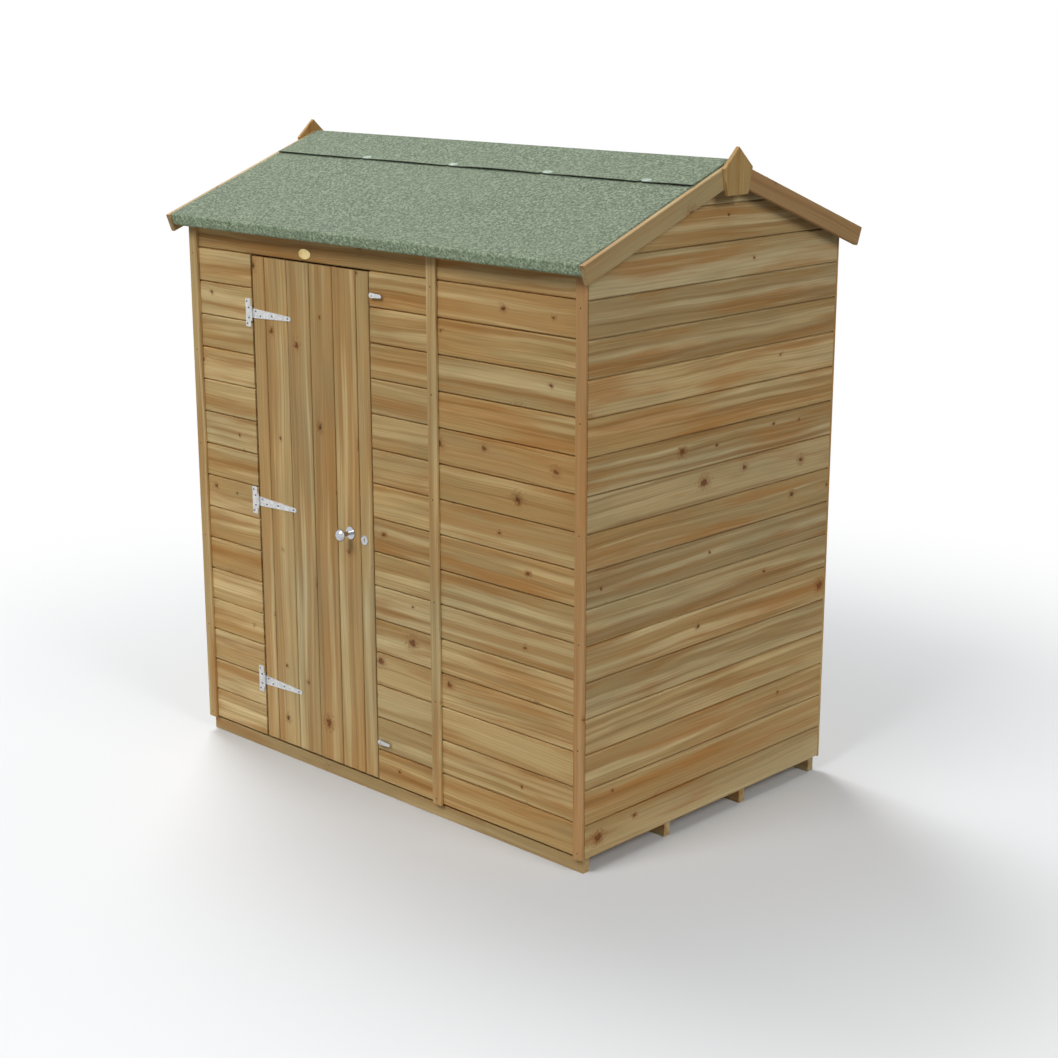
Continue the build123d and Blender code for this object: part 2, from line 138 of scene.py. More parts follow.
def softwood(name, pale, tan, warm, late, knot, knot_share=0.4, tone_spread=0.12, red_share=0.6, way=None):
    """Treated pine: rings about a pith beside the board, sapwood, heartwood, streaks and knots.
    A board brings its grain with it; for a bare solid, way gives its length, width and depth."""
    resin_red = colour(130, 68, 30)
    knot_brown = colour(142, 88, 44)
    treatment_green = colour(156, 141, 100)
    heart_red = colour(171, 114, 51)
    wood = Finish(name)
    if way is None:
        grain = wood.node("Attribute", {}, attribute_name="grain").outputs["Vector"]
        lots = wood.node("Attribute", {}, attribute_name="lot").outputs["Vector"]
    else:
        spot = wood.node("TexCoord", {}).outputs["Object"]
        grain = wood.join(*[wood.dot(spot, direction) for direction in way])
        batten_apart = (0.09, 0.09, 0.09)
        lane = wood.vector("SNAP", wood.vector("MULTIPLY", grain, (0.0, 1.0, 1.0)), batten_apart)
        lots = wood.node("TexWhiteNoise", {"Vector": lane}).outputs["Color"]
    lot = wood.split(lots)
    along, across, depth = wood.split(grain)

    # Knots, one to a cell of the board at most, ragged and with the grain bent about them.
    knot_cell = (0.27, 0.085, 1.0)
    knot_squash = (0.21, 0.085, 0.0)
    smallest_knot = 0.0034
    knot_growth = 0.0085
    cells = wood.vector("DIVIDE", grain, knot_cell)
    scatter = wood.node("TexVoronoi", {"Vector": cells, "Scale": 1.0}, voronoi_dimensions="2D")
    away = wood.vector("SUBTRACT", cells, scatter.outputs["Position"])
    away = wood.vector("MULTIPLY", away, knot_squash)
    draw = wood.split(scatter.outputs["Color"])
    size = wood.maths("MULTIPLY_ADD", wood.maths("POWER", draw[0], 3.0), knot_growth, smallest_knot)
    ragged = wood.maths("MULTIPLY_ADD", wood.cloud(grain, (90.0, 90.0, 90.0)), 2.4, -0.2)
    ragged = wood.maths("MAXIMUM", ragged, 0.25)
    reach = wood.maths("DIVIDE", wood.vector("LENGTH", away), wood.maths("MULTIPLY", size, ragged))
    there = wood.maths("GREATER_THAN", draw[1], 1 - knot_share)
    core = wood.maths("MULTIPLY", there, wood.ramp(reach, 0.5, 1.3, 0.88, 0.0))
    halo = wood.maths("MULTIPLY", there, wood.ramp(reach, 0.8, 3.2, 1.0, 0.0))
    resin = wood.mix(wood.ramp(draw[2], 0.1, 0.7), knot, resin_red)
    eye = wood.mix(wood.ramp(reach, 0.15, 0.95), resin, knot)

    slow = wood.maths("SUBTRACT", wood.cloud(grain, (0.8, 0.0, 0.0)), 0.5)
    quick = wood.maths("SUBTRACT", wood.cloud(grain, (5.0, 6.0, 6.0)), 0.5)
    bend = wood.maths("MULTIPLY", wood.split(away)[1], wood.maths("MULTIPLY", halo, -0.8))
    wander = wood.maths("MULTIPLY_ADD", slow, 0.06, wood.maths("MULTIPLY", quick, 0.008))
    bent = wood.maths("ADD", across, wood.maths("ADD", bend, wander))
    fibre_way = wood.join(along, bent, depth)

    # Rings about the pith, which lies beside and behind the board and wanders along it.
    finest_ring = 0.0055
    ring_growth = 0.004
    pith_side = wood.maths("MULTIPLY_ADD", lot[0], 0.24, -0.06)
    taper = wood.maths("SUBTRACT", wood.cloud(grain, (0.55, 0.0, 0.0)), 0.5)
    pith_depth = wood.maths("MULTIPLY_ADD", lot[1], 0.05, wood.maths("MULTIPLY_ADD", taper, 0.07, 0.03))
    radius = wood.vector("LENGTH", wood.join(wood.maths("SUBTRACT", bent, pith_side), pith_depth, 0.0))
    ring_pitch = wood.maths("MULTIPLY_ADD", lot[2], ring_growth, finest_ring)
    ring = wood.maths("FRACT", wood.maths("DIVIDE", radius, ring_pitch))
    dark_ring = wood.maths("MULTIPLY", wood.ramp(ring, 0.3, 0.85), wood.ramp(ring, 0.86, 1.0, 1.0, 0.0))

    # Bands and streaks along the fibre, from broad to fine, and where sapwood starts and heartwood ends.
    broad = wood.cloud(fibre_way, (0.9, 18.0, 18.0), 2.0)
    patch = wood.cloud(fibre_way, (0.8, 27.0, 27.0), 2.0)
    streak = wood.cloud(fibre_way, (0.8, 48.0, 48.0), 3.0)
    line = wood.cloud(fibre_way, (1.8, 230.0, 230.0), 2.0)
    fibre = wood.cloud(fibre_way, (9.0, 480.0, 480.0), 2.0)
    steeped = wood.cloud(grain, (2.2, 9.0, 9.0), 2.0)
    blush = wood.cloud(fibre_way, (1.8, 20.0, 20.0), 3.0)
    chance = wood.maths("FRACT", wood.maths("MULTIPLY_ADD", lot[0], 13.7, lot[1]))
    sap_from = wood.maths("MULTIPLY_ADD", chance, 0.09, 0.055)
    ragged_radius = wood.maths("MULTIPLY_ADD", wood.maths("SUBTRACT", streak, 0.5), 0.03, radius)
    sap = wood.ramp(wood.maths("SUBTRACT", ragged_radius, sap_from), 0.0, 0.014)
    heart_to = wood.maths("MULTIPLY_ADD", wood.maths("SUBTRACT", 1.0, chance), 0.05, 0.012)
    heart = wood.ramp(wood.maths("SUBTRACT", ragged_radius, heart_to), 0.0, 0.03, 1.0, 0.0)

    # The colour, laid on from the heartwood outwards, then each board's own tone and warmth.
    shade = wood.mix(wood.maths("MULTIPLY", heart, 0.5), tan, warm)
    shade = wood.mix(wood.ramp(broad, 0.46, 0.62, 0.0, 0.8), shade, warm)
    shade = wood.mix(wood.ramp(patch, 0.5, 0.66, 0.0, 0.7), shade, pale)
    shade = wood.mix(wood.maths("MULTIPLY", sap, 0.5), shade, pale)
    shade = wood.mix(wood.ramp(steeped, 0.46, 0.68, 0.0, 0.36), shade, treatment_green)
    shade = wood.mix(wood.ramp(blush, 0.48, 0.68, 0.0, red_share), shade, heart_red)
    shade = wood.mix(wood.ramp(streak, 0.5, 0.7, 0.0, 0.6), shade, late)
    shade = wood.mix(wood.ramp(line, 0.55, 0.75, 0.0, 0.3), shade, pale)
    shade = wood.mix(wood.ramp(line, 0.28, 0.46, 0.28, 0.0), shade, late)
    shade = wood.mix(wood.maths("MULTIPLY", dark_ring, 0.16), shade, late)
    shade = wood.mix(wood.maths("MULTIPLY", halo, 0.45), shade, knot_brown)
    shade = wood.mix(core, shade, eye)
    level = wood.maths("MULTIPLY_ADD", lot[2], tone_spread, 1 - tone_spread / 2)
    level = wood.maths("MULTIPLY", level, wood.ramp(fibre, 0.25, 0.75, 0.94, 1.05))
    shade = wood.mix(1.0, shade, wood.join(level, level, level), "MULTIPLY")
    place = wood.node("TexCoord", {}).outputs["Object"]
    batch = wood.maths("SUBTRACT", wood.cloud(place, (0.5, 0.5, 2.2)), 0.5)
    own = wood.maths("FRACT", wood.maths("MULTIPLY_ADD", lot[1], 17.3, lot[2]))
    own = wood.maths("SUBTRACT", own, 0.5)
    warmth = wood.maths("MULTIPLY_ADD", batch, 1.6, wood.maths("MULTIPLY", own, 0.5))
    redder = wood.maths("MULTIPLY_ADD", warmth, 0.16, 1.0)
    bluer = wood.maths("MULTIPLY_ADD", warmth, -0.24, 1.0)
    shade = wood.mix(1.0, shade, wood.join(redder, 1.0, bluer), "MULTIPLY")
    relief = wood.maths("ADD", wood.maths("MULTIPLY", dark_ring, 0.5), fibre)
    rough = wood.ramp(fibre, 0.2, 0.8, 0.62, 0.8)
    return wood.dress(shade, rough, relief, 0.0003, gloss=0.2)


def set_up(mesh, name, *materials):
    """Turns a finished mesh into an object of the scene."""
    data = bpy.data.meshes.new(name)
    mesh.to_mesh(data)
    mesh.free()
    for material in materials:
        data.materials.append(material)
    made = bpy.data.objects.new(name, data)
    bpy.context.scene.collection.objects.link(made)
    return made


class Stack:
    """Boards gathered into one mesh."""

    def __init__(self, seed):
        self.mesh = bmesh.new()
        self.grain = self.mesh.verts.layers.float_vector.new("grain")
        self.lot = self.mesh.verts.layers.float_vector.new("lot")
        self.marked = self.mesh.verts.layers.int.new("marked")
        self.chance = random.Random(seed)

    def board(self, corner, along, across, length, section, cuts=()):
        """Runs a section of (across, out) points from corner along the board, then saws each cut."""
        mesh = self.mesh
        out = along.cross(across)
        rings = []
        for end in (0.0, length):
            spots = [corner + along * end + across * a + out * o for a, o in section]
            rings.append([mesh.verts.new(spot) for spot in spots])
        count = len(section)
        for spot in range(count):
            after = (spot + 1) % count
            mesh.faces.new((rings[0][spot], rings[0][after], rings[1][after], rings[1][spot]))
        mesh.faces.new(rings[0])
        mesh.faces.new(rings[1])
        for point, normal in cuts:
            self.saw(point, normal)
        self.mark(corner, along, across, out)

    def mark(self, corner, along, across, out):
        """Gives the timber just made its grain and its lot of chance."""
        fresh = self.fresh()
        faces = list({face for vert in fresh for face in vert.link_faces})
        bmesh.ops.recalc_face_normals(self.mesh, faces=faces)
        run_of_grain = 60.0
        start = self.chance.uniform(0.0, run_of_grain)
        lot = Vector((self.chance.random(), self.chance.random(), self.chance.random()))
        for vert in fresh:
            way = vert.co - corner
            vert[self.grain] = Vector((way.dot(along) + start, way.dot(across), way.dot(out)))
            vert[self.lot] = lot
            vert[self.marked] = 1

    def fresh(self):
        return [vert for vert in self.mesh.verts if not vert[self.marked]]

    def saw(self, point, normal):
        """Takes off what lies beyond the cut and closes the sawn end."""
        fresh = self.fresh()
        edges = list({edge for vert in fresh for edge in vert.link_edges})
        faces = list({face for vert in fresh for face in vert.link_faces})
        done = bmesh.ops.bisect_plane(
            self.mesh, geom=fresh + edges + faces, dist=1e-6,
            plane_co=point, plane_no=normal, clear_outer=True)
        rim = [part for part in done["geom_cut"] if isinstance(part, bmesh.types.BMEdge)]
        if rim:
            bmesh.ops.edgeloop_fill(self.mesh, edges=rim)

    def piece(self, name, material):
        """Closes the stack into one object."""
        self.mesh.verts.layers.int.remove(self.marked)
        return set_up(self.mesh, name, material)


def eased(width, thick, ease):
    """A planed section with its four arrises taken off."""
    return [
        (ease, 0), (width - ease, 0), (width, ease), (width, thick - ease),
        (width - ease, thick), (ease, thick), (0, thick - ease), (0, ease)]


BEARER_EASE = 0.0012
OUTER_BEARER_Y = 0.571
BEARER_YS = (-OUTER_BEARER_Y, -OUTER_BEARER_Y / 3, OUTER_BEARER_Y / 3, OUTER_BEARER_Y)
BEARER_TONES = (
    colour(199, 178, 132), colour(180, 155, 109), colour(170, 139, 93), colour(147, 114, 71),
    colour(92, 60, 32))
bearer_pine = softwood("bearer_pine", *BEARER_TONES)
bearer_low, bearer_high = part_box("floor_bearers")
bearer_long = bearer_high.x - bearer_low.x
bearer_wide = 2 * (bearer_high.y - OUTER_BEARER_Y)
bearer_tall = bearer_high.z - bearer_low.z
bearers = Stack(11)
for middle in BEARER_YS:
    foot = Vector((bearer_low.x, middle - bearer_wide / 2, bearer_low.z))
    bearers.board(foot, RIGHT, BACK, bearer_long, eased(bearer_wide, bearer_tall, BEARER_EASE))
bearers = bearers.piece("bearers", bearer_pine)
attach(bearers, "shed")
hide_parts("floor_bearers")


# Floor deck: tongued and grooved pine boards laid across the bearers and nailed down.
# The wall frames stand on them, and they show from the doorway.

BOARD_COVER = 0.1133
SLIVER = 0.004
DECK_GAP = 0.0006
DECK_BEVEL = 0.0008
DECK_TONGUE = 0.006
DECK_TONES = (
    colour(198, 173, 126), colour(176, 148, 101), colour(167, 129, 82), colour(142, 106, 63),
    colour(86, 55, 28))


def matched(width, thick, gap, bevel, tongue):
    """A tongued board: full width at the back, with a gap and a small bevel at each face edge."""
    return [
        (0, 0), (width, 0), (width, tongue), (width - gap, tongue),
        (width - gap, thick - bevel), (width - gap - bevel, thick),
        (gap + bevel, thick), (gap, thick - bevel), (gap, tongue), (0, tongue)]


def rows(low, high, pitch, first):
    """Edges of boards between low and high, with joints pitch apart, one of them at first."""
    edges = [low]
    joint = first - math.floor((first - low - SLIVER) / pitch) * pitch
    while joint < high - SLIVER:
        edges.append(joint)
        joint += pitch
    edges.append(high)
    return list(zip(edges, edges[1:]))


deck_pine = softwood("deck_pine", *DECK_TONES)
deck_low, deck_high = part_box("floor_deck")
deck_deep = deck_high.y - deck_low.y
deck_thick = deck_high.z - deck_low.z
deck = Stack(12)
for left, right in rows(deck_low.x, deck_high.x, BOARD_COVER, 0.0):
    section = matched(right - left, deck_thick, DECK_GAP, DECK_BEVEL, DECK_TONGUE)
    deck.board(Vector((right, deck_low.y, deck_low.z)), BACK, -RIGHT, deck_deep, section)
deck = deck.piece("deck_boards", deck_pine)
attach(deck, "shed")
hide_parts("floor_deck")


# Wall frames: rough sawn pine battens behind the cladding, soles, heads, studs, gable posts and rails.
# They are nailed together flat, and the cladding is nailed to them from outside.

FRAMING_TONES = (
    colour(194, 171, 122), colour(170, 143, 96), colour(164, 126, 78), colour(138, 103, 60),
    colour(86, 55, 28))


def leave_bare(name, material):
    """Keeps a node's own solid and gives it a finish."""
    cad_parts[name].material_slots[0].material = material


level_batten = softwood("level_battens", *FRAMING_TONES, way=(RIGHT, UP, BACK))
upright_batten = softwood("upright_battens", *FRAMING_TONES, way=(UP, RIGHT, BACK))
cross_batten = softwood("cross_battens", *FRAMING_TONES, way=(BACK, UP, RIGHT))
for node in ("front_plates", "back_plates"):
    leave_bare(node, level_batten)
for node in ("front_studs", "back_studs", "left_gable_posts", "right_gable_posts"):
    leave_bare(node, upright_batten)
for node in ("left_gable_rails", "right_gable_rails"):
    leave_bare(node, cross_batten)


# Wall cladding: pressure treated pine shiplap, tongued together and nailed level to the wall frames.
# The front is one doorway panel and one plain panel that meet under a cover strip, as the back is.
# The gable boards are sawn to the roof's slope.

ROOF_PITCH = math.radians(20.6)
ROOF_BOARD_THICK = 0.011
JOINT_GAP = 0.0018
JOINT_BEVEL = 0.0030
TONGUE = 0.004
CLADDING_TONES = (
    colour(222, 198, 144), colour(186, 155, 102), colour(184, 143, 88), colour(150, 107, 55),
    colour(80, 48, 22))
BESIDE_HINGES_TONES = (
    colour(237, 214, 160), colour(201, 171, 116), colour(198, 158, 99), colour(163, 121, 66),
    colour(84, 51, 24))
GABLE_TONES = (
    colour(218, 198, 150), colour(181, 153, 104), colour(174, 139, 87), colour(141, 104, 57),
    colour(78, 48, 24))
cladding_pine = softwood("shiplap_pine", *CLADDING_TONES)
beside_hinges_pine = softwood("doorway_left_pine", *BESIDE_HINGES_TONES)
gable_pine = softwood("gable_pine", *GABLE_TONES, tone_spread=0.2)
left_low, left_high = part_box("front_wall_left")
right_low, right_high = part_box("front_wall_right")
plain_low, plain_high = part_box("front_wall_plain")
wall_thick = left_high.y - left_low.y
header_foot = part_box("front_wall_header")[0].z
ridge_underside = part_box("front_roof_panel")[1].z - ROOF_BOARD_THICK / math.cos(ROOF_PITCH)


def down_slope(side):
    """The way down one roof slope: side is -1 at the front and 1 at the back."""
    return Vector((0, side * math.cos(ROOF_PITCH), -math.sin(ROOF_PITCH)))


def off_slope(side):
    """The way straight off one roof slope."""
    return Vector((0, side * math.sin(ROOF_PITCH), math.cos(ROOF_PITCH)))


front_slope = (ridge_underside * UP, off_slope(-1))
back_slope = (ridge_underside * UP, off_slope(1))


def clad(stack, start, along, length, low, high, cuts):
    """Lays level boards from low to high along a wall, from its back face at the left end."""
    for foot, head in rows(low, high, BOARD_COVER, header_foot):
        section = matched(head - foot, wall_thick, JOINT_GAP, JOINT_BEVEL, TONGUE)
        stack.board(Vector((start.x, start.y, foot)), along, UP, length, section, cuts)


def wall_piece(stack, name, *nodes, pine=cladding_pine):
    """Closes a wall's boards into one piece in place of its plain solids."""
    made = stack.piece(name, pine)
    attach(made, "shed")
    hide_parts(*nodes)


left_start = Vector((left_low.x, left_high.y, 0))
right_start = Vector((right_low.x, right_high.y, 0))
plain_start = Vector((plain_low.x, plain_high.y, 0))

beside_hinges = Stack(21)
clad(beside_hinges, left_start, RIGHT, left_high.x - left_low.x, left_low.z, header_foot, ())
wall_piece(beside_hinges, "doorway_left_boards", "front_wall_left", pine=beside_hinges_pine)

doorway_panel = Stack(27)
clad(doorway_panel, right_start, RIGHT, right_high.x - right_low.x, right_low.z, header_foot, ())
clad(doorway_panel, left_start, RIGHT, right_high.x - left_low.x, header_foot, left_high.z, (front_slope,))
wall_piece(doorway_panel, "doorway_panel_boards", "front_wall_header", "front_wall_right")

plain_panel = Stack(22)
clad(plain_panel, plain_start, RIGHT, plain_high.x - plain_low.x, plain_low.z, plain_high.z, (front_slope,))
wall_piece(plain_panel, "plain_panel_boards", "front_wall_plain")

for name, seed in (("back_wall_narrow", 23), ("back_wall_wide", 24)):
    low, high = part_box(name)
    panel = Stack(seed)
    clad(panel, Vector((high.x, low.y, 0)), -RIGHT, high.x - low.x, low.z, high.z, (back_slope,))
    wall_piece(panel, name + "_boards", name)

for name, seed, along in (("right_gable", 25, BACK), ("left_gable", 26, -BACK)):
    low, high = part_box(name + "_wall")
    start = low if along.y > 0 else high
    gable = Stack(seed)
    clad(gable, start, along, high.y - low.y, low.z, high.z, (front_slope, back_slope))
    wall_piece(gable, name + "_boards", name + "_wall", pine=gable_pine)


# Cover strips and corner trims: planed pine laths nailed over the panel joints and the corners.
# They come from redder and paler batches than the cladding, and are sawn to the slope at the top.

TRIM_WIDE = 0.040
TRIM_EASE = 0.0022
TRIM_OVERRUN = 0.02
TRIM_TONES = (
    colour(201, 164, 115), colour(183, 145, 98), colour(178, 134, 86), colour(154, 111, 68),
    colour(82, 49, 25))
COVER_TONES = (
    colour(224, 201, 148), colour(200, 171, 118), colour(187, 149, 96), colour(160, 121, 74),
    colour(88, 56, 29))
trim_pine = softwood("trim_pine", *TRIM_TONES, knot_share=0.25)
cover_pine = softwood("cover_strip_pine", *COVER_TONES, knot_share=0.25)
for node, seed, left_pine, right_pine in (
        ("front_corner_trims", 31, cover_pine, trim_pine),
        ("back_corner_trims", 32, trim_pine, cover_pine),
        ("front_cover_strip", 33, cover_pine, cover_pine),
        ("back_cover_strip", 34, cover_pine, cover_pine)):
    low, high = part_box(node)
    front = high.y <= 0
    laths = {round(low.x, 4): left_pine, round(high.x - TRIM_WIDE, 4): right_pine}
    for number, left in enumerate(sorted(laths)):
        lath = Stack(seed + 10 * number)
        corner = Vector((left + TRIM_WIDE, high.y, low.z)) if front else Vector((left, low.y, low.z))
        across = -RIGHT if front else RIGHT
        section = eased(TRIM_WIDE, high.y - low.y, TRIM_EASE)
        top_cut = front_slope if front else back_slope
        lath.board(corner, UP, across, high.z - low.z + TRIM_OVERRUN, section, (top_cut,))
        lath = lath.piece(f"{node}_lath_{number + 1}", laths[left])
        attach(lath, "shed")
        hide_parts(node)


# Door: six upright matched pine boards, the two outer ones ripped narrower, clenched to three ledges
# and two braces behind. It hangs in the doorway, in the plane of the cladding.

LEDGE_TALL = 0.090
LEDGE_EASE = 0.003
BRACE_WIDE = 0.070
DOOR_TONES = (
    colour(221, 199, 147), colour(189, 159, 108), colour(187, 148, 95), colour(156, 118, 71),
    colour(88, 56, 27))
door_pine = softwood("door_pine", *DOOR_TONES, red_share=0.3)
door_low, door_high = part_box("door_boards")
door_middle = (door_low.x + door_high.x) / 2
door_tall = door_high.z - door_low.z
door_leaf = Stack(41)
for left, right in rows(door_low.x, door_high.x, BOARD_COVER, door_middle):
    section = matched(right - left, wall_thick, JOINT_GAP, JOINT_BEVEL, TONGUE)
    door_leaf.board(Vector((right, door_high.y, door_low.z)), UP, -RIGHT, door_tall, section)
door_leaf = door_leaf.piece("door_leaf_boards", door_pine)
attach(door_leaf, "door")
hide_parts("door_boards")

ledge_pine = softwood("treated_framing", *FRAMING_TONES)
ledge_low, ledge_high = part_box("door_ledges")
ledge_long = ledge_high.x - ledge_low.x
ledge_middle = (ledge_low.z + ledge_high.z - LEDGE_TALL) / 2
ledges = Stack(42)
for foot in (ledge_low.z, ledge_middle, ledge_high.z - LEDGE_TALL):
    section = eased(LEDGE_TALL, ledge_high.y - ledge_low.y, LEDGE_EASE)
    ledges.board(Vector((ledge_low.x, ledge_high.y, foot)), RIGHT, UP, ledge_long, section)
ledges = ledges.piece("door_ledge_boards", ledge_pine)
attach(ledges, "door")
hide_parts("door_ledges")

brace_low, brace_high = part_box("door_braces")
brace_rise = ledge_middle - ledge_low.z - LEDGE_TALL
brace_way = Vector((brace_high.x - brace_low.x - BRACE_WIDE, 0, brace_rise)).normalized()
brace_pine = softwood("brace_pine", *FRAMING_TONES, way=(brace_way, brace_way.cross(BACK), BACK))
leave_bare("door_braces", brace_pine)


# T hinges: three bright zinc straps that turn on pins in the knuckles of the plates on the wall.
# They are pressed from sheet and held by pan head screws, four to a plate and four to a strap.
# The two turn buttons beside the door are of the same zinc.

FRONT_WAY = -BACK
PLATE_TALL = 0.095
PLATE_THICK = 0.0025
KNUCKLE_HALF = 0.0044
PLATE_SCREWS = ((-0.0255, 0.037), (-0.0165, 0.017), (-0.0165, -0.017), (-0.0255, -0.037))
STRAP_SCREWS = ((0.020, 0.008), (0.044, -0.006), (0.104, 0.0), (0.184, 0.0))
SCREW_RADIUS = 0.0034
SCREW_RISE = 0.0016
SCREW_CROSS = 0.36
CROSS_REACH = 0.6
CROSS_FLOOR = 0.35
HEAD_STEPS = 16
HEAD_PROFILE = ((1.0, 0.0), (1.0, 0.35), (0.9, 0.75), (0.75, 1.0))


def zinc_finish(name, base, dull):
    """Bright zinc: faint spangle, with roughness that drifts over the sheet."""
    zinc = Finish(name)
    spot = zinc.node("TexCoord", {}).outputs["Object"]
    crystals = zinc.node("TexVoronoi", {"Vector": spot, "Scale": 160.0}).outputs["Color"]
    spangle = zinc.split(crystals)[0]
    smear = zinc.cloud(spot, (40.0, 40.0, 120.0), 3.0)
    shade = zinc.mix(zinc.ramp(spangle, 0.0, 1.0, 0.0, 0.5), base, dull)
    shade = zinc.mix(zinc.ramp(smear, 0.5, 0.8, 0.0, 0.5), shade, dull)
    rough = zinc.ramp(zinc.maths("ADD", spangle, smear), 0.4, 1.6, 0.3, 0.5)
    return zinc.dress(shade, rough, smear, 0.0001, 1.0)


bright_zinc = zinc_finish("bright_zinc", colour(216, 216, 214), colour(178, 180, 183))
dark_screw = zinc_finish("dull_screws", colour(128, 128, 132), colour(96, 96, 102))
for node in ("hinge_plates", "hinge_straps", "turn_button_pivots", "upper_turn_button", "lower_turn_button"):
    leave_bare(node, bright_zinc)


def round_heads(name, places, out, radius, rise, material, slot_share=0.0):
    """Domed heads that stand on the given places.
    A screw's head has a cross cut in it, slot_share of its radius wide."""
    heads = bmesh.new()
    side = out.orthogonal().normalized()
    other = out.cross(side)
    half = slot_share / 2
    arm = ((half, half), (half, CROSS_REACH), (-half, CROSS_REACH))
    quarters = ((1, 0), (0, 1), (-1, 0), (0, -1))
    cross = [(a * c - b * s, a * s + b * c) for c, s in quarters for a, b in arm]
    for place in places:
        rings = []
        for share, height in HEAD_PROFILE:
            ring = []
            for step in range(HEAD_STEPS):
                turn = math.tau * step / HEAD_STEPS
                spoke = side * math.cos(turn) + other * math.sin(turn)
                ring.append(heads.verts.new(place + spoke * radius * share + out * rise * height))
            rings.append(ring)
        if slot_share:
            for height in (1.0, CROSS_FLOOR):
                spots = [place + (side * a + other * b) * radius + out * rise * height for a, b in cross]
                rings.append([heads.verts.new(spot) for spot in spots])
        bands = [pair for pair in zip(rings, rings[1:]) if len(pair[0]) == len(pair[1])]
        for outer, inner in bands:
            for step in range(len(outer)):
                after = (step + 1) % len(outer)
                heads.faces.new((outer[step], outer[after], inner[after], inner[step]))
        if slot_share:
            rims = []
            for ring in rings[3:5]:
                rims += [heads.edges.get((ring[step - 1], ring[step])) for step in range(len(ring))]
            bmesh.ops.triangle_fill(heads, edges=rims, use_beauty=True)
        heads.faces.new(rings[-1])
        heads.faces.new(list(reversed(rings[0])))
    bmesh.ops.recalc_face_normals(heads, faces=heads.faces)
    return set_up(heads, name, material)


plate_low, plate_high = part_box("hinge_plates")
hinge_heights = (
    plate_low.z + PLATE_TALL / 2, (plate_low.z + plate_high.z) / 2, plate_high.z - PLATE_TALL / 2)
pin_x = plate_high.x - KNUCKLE_HALF
face_y = door_low.y - PLATE_THICK
plate_spots = [Vector((pin_x + x, face_y, z + dz)) for z in hinge_heights for x, dz in PLATE_SCREWS]
strap_spots = [Vector((pin_x + x, face_y, z + dz)) for z in hinge_heights for x, dz in STRAP_SCREWS]
screw_head = (FRONT_WAY, SCREW_RADIUS, SCREW_RISE, dark_screw, SCREW_CROSS)
plate_screws = round_heads("hinge_plate_screws", plate_spots, *screw_head)
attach(plate_screws, "shed")
strap_screws = round_heads("hinge_strap_screws", strap_spots, *screw_head)
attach(strap_screws, "door")


# Trim nails: small steel nails driven through the corner trims and cover strips into the frames.
# They stand a third of a metre apart, and their heads are dark.

NAIL_FIRST = 0.0695
NAIL_APART = 0.331
NAIL_COUNT = 6
NAIL_RADIUS = 0.0023
NAIL_RISE = 0.0005
nail_steel = zinc_finish("dark_nails", colour(74, 62, 50), colour(52, 44, 37))
nail_heights = [NAIL_FIRST + NAIL_APART * step for step in range(NAIL_COUNT)]
for wall, way in (("front", FRONT_WAY), ("back", BACK)):
    trim_low, trim_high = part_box(wall + "_corner_trims")
    strip_low, strip_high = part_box(wall + "_cover_strip")
    face = trim_low.y if way.y < 0 else trim_high.y
    lines = (trim_low.x + TRIM_WIDE / 2, (strip_low.x + strip_high.x) / 2, trim_high.x - TRIM_WIDE / 2)
    places = [Vector((x, face, z)) for x in lines for z in nail_heights]
    nails = round_heads(wall + "_trim_nails", places, way, NAIL_RADIUS, NAIL_RISE, nail_steel)
    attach(nails, "shed")


# Door knob and lock escutcheon: bright metal, turned and polished, with faint brushing left in it.
# The knob stands on a round rose fixed to the door, with the keyhole plate beside it.

polished = Finish("polished_knob")
knob_spot = polished.node("TexCoord", {}).outputs["Object"]
brushing = polished.cloud(knob_spot, (300.0, 30.0, 300.0), 3.0)
knob_shade = polished.mix(brushing, colour(206, 208, 211), colour(166, 169, 175))
polished.dress(knob_shade, polished.ramp(brushing, 0.2, 0.8, 0.1, 0.24), brushing, 0.00005, 1.0)
leave_bare("door_knob", polished.material)
leave_bare("lock_escutcheon", polished.material)


# Oval plate: a plain oval of thin brass, lacquered pale and stamped with a raised rim.
# It is pinned to the header board over the middle of the doorway.

OVAL_HALF_WIDE = 0.029
OVAL_HALF_TALL = 0.017
OVAL_X = -0.317
OVAL_Z = 1.770
OVAL_STEPS = 48
OVAL_PROFILE = ((1.0, 0.0), (1.0, 0.0016), (0.95, 0.0026), (0.88, 0.0026), (0.83, 0.0018), (0.5, 0.0022))
brass = Finish("lacquered_brass")
brass_spot = brass.node("TexCoord", {}).outputs["Object"]
tarnish = brass.cloud(brass_spot, (60.0, 60.0, 60.0), 3.0)
brass_shade = brass.mix(brass.ramp(tarnish, 0.35, 0.75), colour(236, 214, 150), colour(214, 186, 118))
brass.dress(brass_shade, brass.ramp(tarnish, 0.2, 0.8, 0.3, 0.45), tarnish, 0.0001, 0.6)
oval = bmesh.new()
oval_middle = Vector((OVAL_X, door_low.y, OVAL_Z))
oval_rings = []
for share, rise in OVAL_PROFILE:
    ring = []
    for step in range(OVAL_STEPS):
        turn = math.tau * step / OVAL_STEPS
        reach = Vector((math.cos(turn) * OVAL_HALF_WIDE, 0, math.sin(turn) * OVAL_HALF_TALL)) * share
        ring.append(oval.verts.new(oval_middle + reach + FRONT_WAY * rise))
    oval_rings.append(ring)
for outer, inner in zip(oval_rings, oval_rings[1:]):
    for step in range(OVAL_STEPS):
        after = (step + 1) % OVAL_STEPS
        oval.faces.new((outer[step], outer[after], inner[after], inner[step])).smooth = True
oval.faces.new(oval_rings[-1]).smooth = True
oval.faces.new(list(reversed(oval_rings[0])))
bmesh.ops.recalc_face_normals(oval, faces=oval.faces)
oval_plate = set_up(oval, "oval_plate", brass.material)
